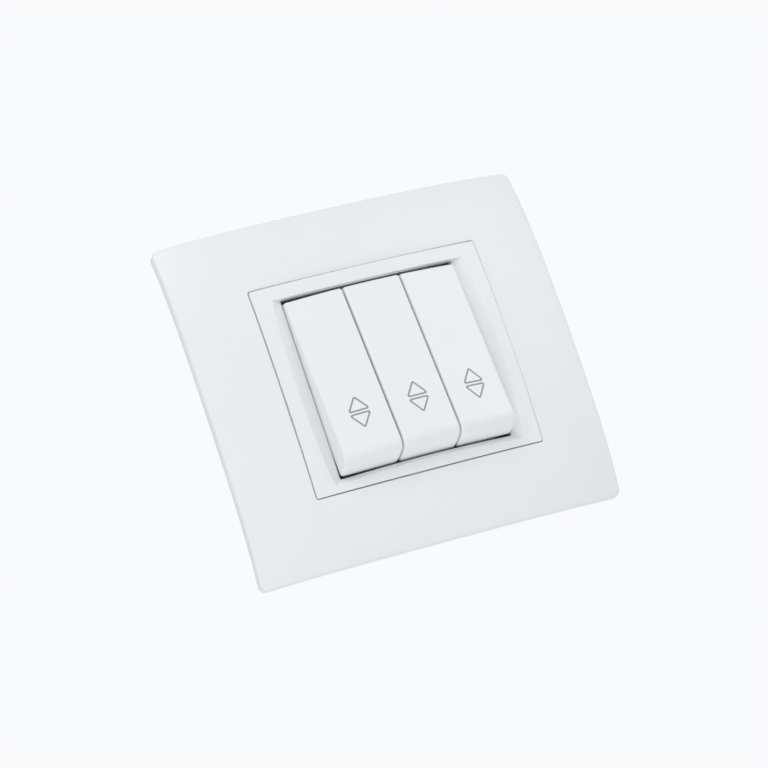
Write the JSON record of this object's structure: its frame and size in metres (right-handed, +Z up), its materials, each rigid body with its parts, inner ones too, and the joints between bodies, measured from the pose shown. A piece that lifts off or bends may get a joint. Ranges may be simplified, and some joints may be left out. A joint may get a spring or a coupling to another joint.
{
  "type": "three_gang_wall_switch",
  "caption": "White flush wall switch with narrow two-way rocker keys side by side in a bezel, inside a thin domed square cover frame",
  "frame": {"origin": "centre of the support plate's fixing slots, on the plate's rear face, which is the wall's plane", "axes": "+X to the right seen from the room, +Z up along the keys, -Y out of the wall towards the room"},
  "size_m": [0.0882, 0.0376, 0.0794],
  "materials": {
    "white_cover": "satin to gloss white thermoplastic",
    "white_key": "gloss white thermoplastic",
    "grey_mark": "mid grey printed line",
    "zinc_steel": "zinc plated",
    "pale_housing": "pale grey moulded insulation",
    "grey_housing": "dark grey moulded insulation",
    "pale_actuator": "pale self-lubricating plastic",
    "spring_steel": "bright drawn wire",
    "brass_strip": "bare stamped brass",
    "silver_contact": "silver-faced contact rivet"
  },
  "bodies": {
    "fixed": {"frame": "white_cover", "bezel": "white_cover", "support_plate": "zinc_steel", "housing_base": "pale_housing", "housing_cover": "grey_housing", "housing_screws": "zinc_steel", "terminal_screws": "zinc_steel", "fixed_contact_tips": "silver_contact", "upper_terminal_left": "brass_strip", "lower_terminal_left": "brass_strip", "common_terminal_left": "brass_strip", "upper_terminal_middle": "brass_strip", "lower_terminal_middle": "brass_strip", "common_terminal_middle": "brass_strip", "upper_terminal_right": "brass_strip", "lower_terminal_right": "brass_strip", "common_terminal_right": "brass_strip"},
    "key_left": {"rocker_left": "white_key", "two_way_mark_left": "grey_mark", "actuator_left": "pale_actuator", "spring_left": "spring_steel"},
    "contact_left": {"moving_contact_left": "brass_strip", "moving_tips_left": "silver_contact"},
    "key_middle": {"rocker_middle": "white_key", "two_way_mark_middle": "grey_mark", "actuator_middle": "pale_actuator", "spring_middle": "spring_steel"},
    "contact_middle": {"moving_contact_middle": "brass_strip", "moving_tips_middle": "silver_contact"},
    "key_right": {"rocker_right": "white_key", "two_way_mark_right": "grey_mark", "actuator_right": "pale_actuator", "spring_right": "spring_steel"},
    "contact_right": {"moving_contact_right": "brass_strip", "moving_tips_right": "silver_contact"},
    "claw_left": {"claw_left": "zinc_steel"},
    "claw_screw_left": {"claw_screw_left": "zinc_steel"},
    "claw_right": {"claw_right": "zinc_steel"},
    "claw_screw_right": {"claw_screw_right": "zinc_steel"}
  },
  "joints": [
    {"name": "press_left", "type": "hinge", "parent": "fixed", "child": "key_left", "pos_m": [-0.0139, -0.0066, 0], "axis": [1, 0, 0], "range_deg": [0, 14]},
    {"name": "contact_rock_left", "type": "hinge", "parent": "fixed", "child": "contact_left", "pos_m": [-0.0139, 0.0092, 0], "axis": [1, 0, 0], "range_deg": [-12, 0]},
    {"name": "press_middle", "type": "hinge", "parent": "fixed", "child": "key_middle", "pos_m": [0, -0.0066, 0], "axis": [1, 0, 0], "range_deg": [0, 14]},
    {"name": "contact_rock_middle", "type": "hinge", "parent": "fixed", "child": "contact_middle", "pos_m": [0, 0.0092, 0], "axis": [1, 0, 0], "range_deg": [-12, 0]},
    {"name": "press_right", "type": "hinge", "parent": "fixed", "child": "key_right", "pos_m": [0.0139, -0.0066, 0], "axis": [1, 0, 0], "range_deg": [0, 14]},
    {"name": "contact_rock_right", "type": "hinge", "parent": "fixed", "child": "contact_right", "pos_m": [0.0139, 0.0092, 0], "axis": [1, 0, 0], "range_deg": [-12, 0]},
    {"name": "claw_screw_turn_left", "type": "hinge", "parent": "fixed", "child": "claw_screw_left", "pos_m": [-0.0275, 0, 0], "axis": [0, 1, 0], "range_deg": [0, 720]},
    {"name": "claw_spread_left", "type": "hinge", "parent": "fixed", "child": "claw_left", "pos_m": [-0.0245, 0.002, 0], "axis": [0, 0, 1], "range_deg": [0, 17]},
    {"name": "claw_screw_turn_right", "type": "hinge", "parent": "fixed", "child": "claw_screw_right", "pos_m": [0.0275, 0, 0], "axis": [0, 1, 0], "range_deg": [0, 720]},
    {"name": "claw_spread_right", "type": "hinge", "parent": "fixed", "child": "claw_right", "pos_m": [0.0245, 0.002, 0], "axis": [0, 0, -1], "range_deg": [0, 17]}
  ],
  "couplings": [
    {"joint": "contact_rock_left", "follows": "press_left", "ratio": -0.857},
    {"joint": "contact_rock_middle", "follows": "press_middle", "ratio": -0.857},
    {"joint": "contact_rock_right", "follows": "press_right", "ratio": -0.857},
    {"joint": "claw_spread_left", "follows": "claw_screw_turn_left", "ratio": 0.0236},
    {"joint": "claw_spread_right", "follows": "claw_screw_turn_right", "ratio": 0.0236}
  ]
}
